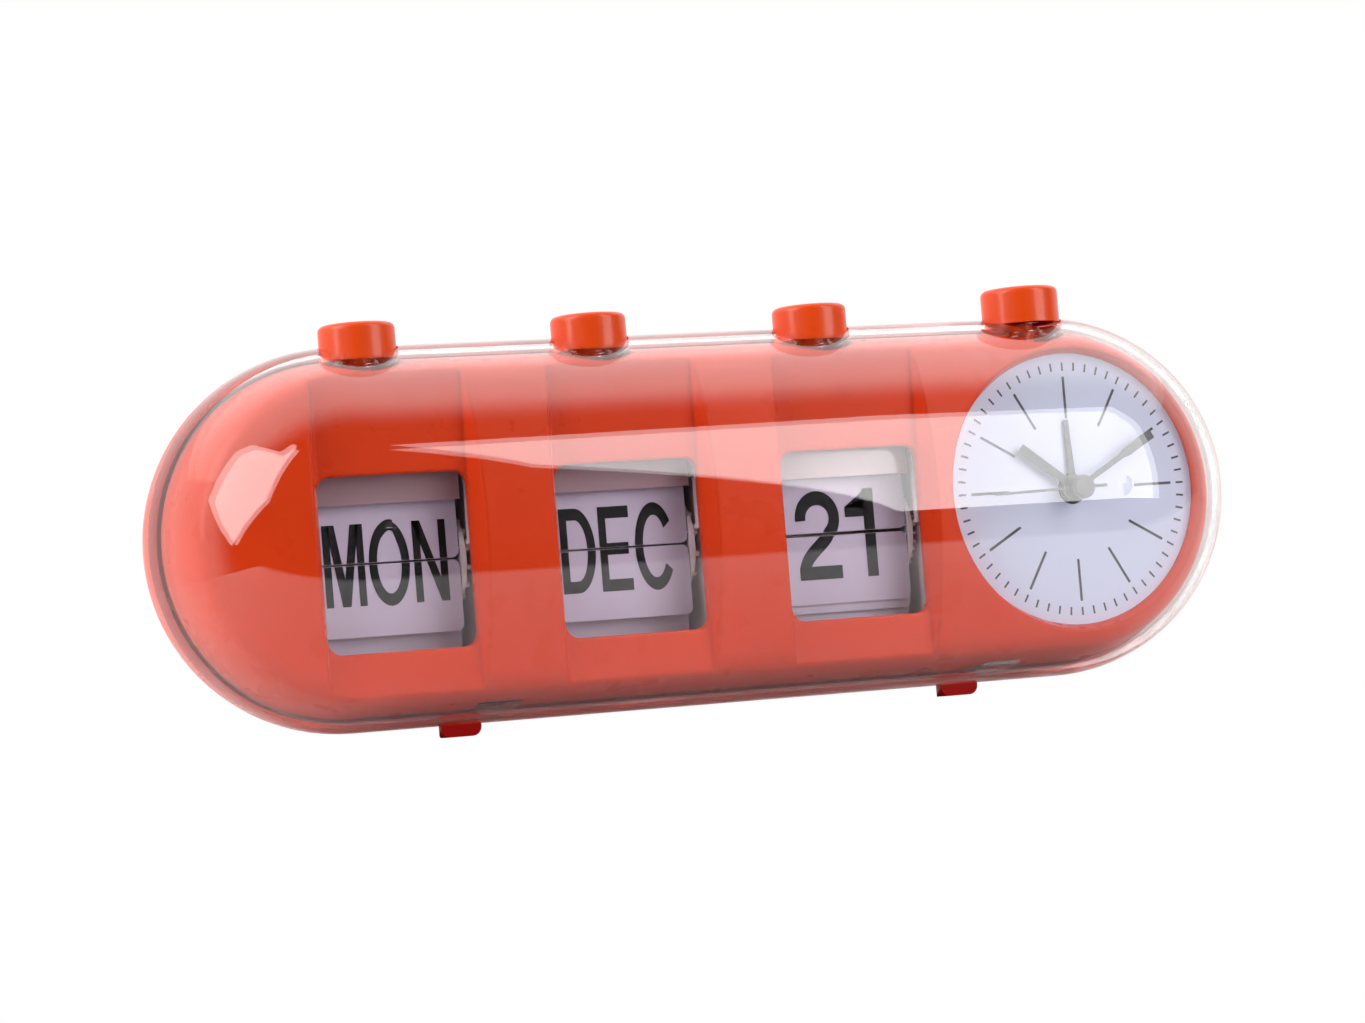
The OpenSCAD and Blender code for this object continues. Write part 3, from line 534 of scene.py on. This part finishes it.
def build_spring(button):
    """A coiled steel spring in place of the rigid CAD one."""
    low, high = (Vector(corner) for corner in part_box("spring_" + button))
    centre = (low + high) / 2
    pitch = (high.z - low.z - 2 * SPRING_WIRE) / SPRING_TURNS
    coil_radius = (high.x - low.x) / 2 - SPRING_WIRE
    steps = SPRING_TURNS * COIL_STEPS
    points = []
    for k in range(steps + 1):
        points += coil_ring(k, centre, low.z + SPRING_WIRE, pitch, coil_radius)
    faces = [[k * WIRE_SIDES + side, k * WIRE_SIDES + (side + 1) % WIRE_SIDES,
              (k + 1) * WIRE_SIDES + (side + 1) % WIRE_SIDES, (k + 1) * WIRE_SIDES + side]
             for k in range(steps) for side in range(WIRE_SIDES)]
    faces.append(list(range(WIRE_SIDES))[::-1])
    faces.append([steps * WIRE_SIDES + side for side in range(WIRE_SIDES)])
    spring = add_object("coil_" + button, points, faces, MATERIALS["steel"])
    spring.data.shade_smooth()
    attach(spring, "case")
    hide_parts("spring_" + button)
    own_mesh(spring)


for button in (*MODULES, "alarm"):
    build_spring(button)


# ---------------------------------------------------------------- studio: table, world, softboxes

# The middle of the case, which the panels stand round
AIM = Vector((0, 0, AXIS_H * MM))
PANEL_DISTANCE = 1.0
# Depth over which the overhead panel's light grows from nothing to full
SOFT_EDGE = 0.5
# Outlines of the upright panels: metres along the panel and up from the clock's axis
RIGHT_OUTLINE = [(-0.25, -0.1), (0.25, -0.1), (0.25, 0.6), (0, 1.1), (-0.3, 1.25), (-0.35, 0.7)]
LEFT_OUTLINE = [(-0.1, 0), (-0.45, 0.4), (-0.4, 1), (0, 1.4), (0.5, 1.5), (0.25, 0.4)]


def glowing_panel(name, points, strength, mirrored=True, fade=None):
    """A flat lamp that lights the clock and may mirror in it, but isn't seen itself. A fade
    (from, to) lets its light grow from nothing to full between those two y values."""
    material = bpy.data.materials.new(name)
    material.use_nodes = True
    nodes = material.node_tree.nodes
    links = material.node_tree.links
    nodes.clear()
    glow = nodes.new("ShaderNodeEmission")
    glow.inputs["Strength"].default_value = strength
    output = nodes.new("ShaderNodeOutputMaterial")
    links.new(glow.outputs["Emission"], output.inputs["Surface"])
    if fade:
        growth = nodes.new("ShaderNodeMapRange")
        growth.interpolation_type = "SMOOTHSTEP"
        growth.inputs["From Min"].default_value = fade[0]
        growth.inputs["From Max"].default_value = fade[1]
        growth.inputs["To Max"].default_value = strength
        links.new(add_axis(nodes, links, "Y"), growth.inputs["Value"])
        links.new(growth.outputs["Result"], glow.inputs["Strength"])
    panel = add_object(name, points, [list(range(len(points)))], material)
    panel.visible_camera = False
    panel.visible_glossy = mirrored
    panel.visible_transmission = mirrored


def softbox(name, azimuth, outline, strength, mirrored=True):
    """An upright panel. Azimuth 0 is straight to the front, 90 to the clock's right."""
    a = math.radians(azimuth)
    centre = AIM + Vector((math.sin(a), -math.cos(a), 0)) * PANEL_DISTANCE
    along = Vector((math.cos(a), math.sin(a), 0))
    points = [centre + along * u + Vector((0, 0, v)) for u, v in outline]
    glowing_panel(name, points, strength, mirrored)


def ceiling_panel(height, front, back, half_width, strength):
    """A wide panel overhead with a soft front edge."""
    corners = [(-half_width, front), (half_width, front), (half_width, back), (-half_width, back)]
    glowing_panel("softbox_top", [(x, y, height) for x, y in corners], strength,
                  fade=(front, front + SOFT_EDGE))


def build_lights():
    """Two panels that mirror in the cover, two low ones that only fill in, one overhead."""
    softbox("softbox_right", 40, RIGHT_OUTLINE, 5.0)
    softbox("softbox_left", -75, LEFT_OUTLINE, 6.0)
    softbox("fill_front", 32, bar(-0.35, 0.0, 0.45, 0.4), 3.0, mirrored=False)
    softbox("fill_left", -50, bar(-0.25, 0.0, 0.25, 0.4), 2.2, mirrored=False)
    ceiling_panel(1.2, -0.50, 1.4, 2.0, 1.6)


def build_table():
    """A white table top that ends just in front of the clock."""
    material = surface("table_white", (0.68, 0.68, 0.685), 0.6, shade=0.995, grain_depth=0.01)
    left, right, front, back = -0.27, 1.2, -0.100, 2.5
    corners = [(left, front, 0), (right, front, 0), (right, back, 0), (left, back, 0)]
    table = add_object("table", corners, [[0, 1, 2, 3]], material)
    table.visible_camera = False


def build_world():
    """White all round behind the clock and a dim room in front of it. What the camera sees
    directly or through the clear cover is white in both directions."""
    world = bpy.data.worlds.new("studio")
    bpy.context.scene.world = world
    world.use_nodes = True
    nodes = world.node_tree.nodes
    links = world.node_tree.links
    background = nodes["Background"]
    place = nodes.new("ShaderNodeTexCoord")
    parts = nodes.new("ShaderNodeSeparateXYZ")
    links.new(place.outputs["Generated"], parts.inputs["Vector"])
    fade = nodes.new("ShaderNodeMapRange")
    fade.interpolation_type = "SMOOTHSTEP"
    fade.inputs["From Min"].default_value = -0.15
    fade.inputs["From Max"].default_value = 0.15
    fade.inputs["To Min"].default_value = 0.02
    fade.inputs["To Max"].default_value = 1.0
    links.new(parts.outputs["Y"], fade.inputs["Value"])
    rays = nodes.new("ShaderNodeLightPath").outputs
    not_mirrored = add_math(nodes, links, "LESS_THAN", rays["Glossy Depth"], 0.5)
    through = add_math(nodes, links, "MULTIPLY", rays["Is Transmission Ray"], not_mirrored)
    seen = add_math(nodes, links, "MAXIMUM", rays["Is Camera Ray"], through)
    links.new(add_math(nodes, links, "MAXIMUM", fade.outputs["Result"], seen),
              background.inputs["Strength"])
    background.inputs["Color"].default_value = (1, 1, 1, 1)


build_lights()
build_table()
build_world()


# ---------------------------------------------------------------- camera

def build_camera():
    """Low in front, left of the clock and a little tilted, with a long lens."""
    spot = Vector((-0.3119, -0.7558, 0.0045))
    yaw, pitch, roll = math.radians(22.134), math.radians(2.787), math.radians(-4.652)
    ahead = Vector((math.sin(yaw) * math.cos(pitch), math.cos(yaw) * math.cos(pitch),
                    math.sin(pitch)))
    level = ahead.cross(Vector((0, 0, 1))).normalized()
    upright = level.cross(ahead)
    right = math.cos(roll) * level + math.sin(roll) * upright
    up = -math.sin(roll) * level + math.cos(roll) * upright
    data = bpy.data.cameras.new("camera")
    data.sensor_width = 36
    data.lens = 100.25
    data.clip_start = 0.01
    camera = bpy.data.objects.new("camera", data)
    bpy.context.scene.collection.objects.link(camera)
    rotation = Matrix((right, up, -ahead)).transposed().to_4x4()
    camera.matrix_world = Matrix.Translation(spot) @ rotation
    bpy.context.scene.camera = camera


build_camera()
bpy.context.scene.view_settings.view_transform = "Standard"
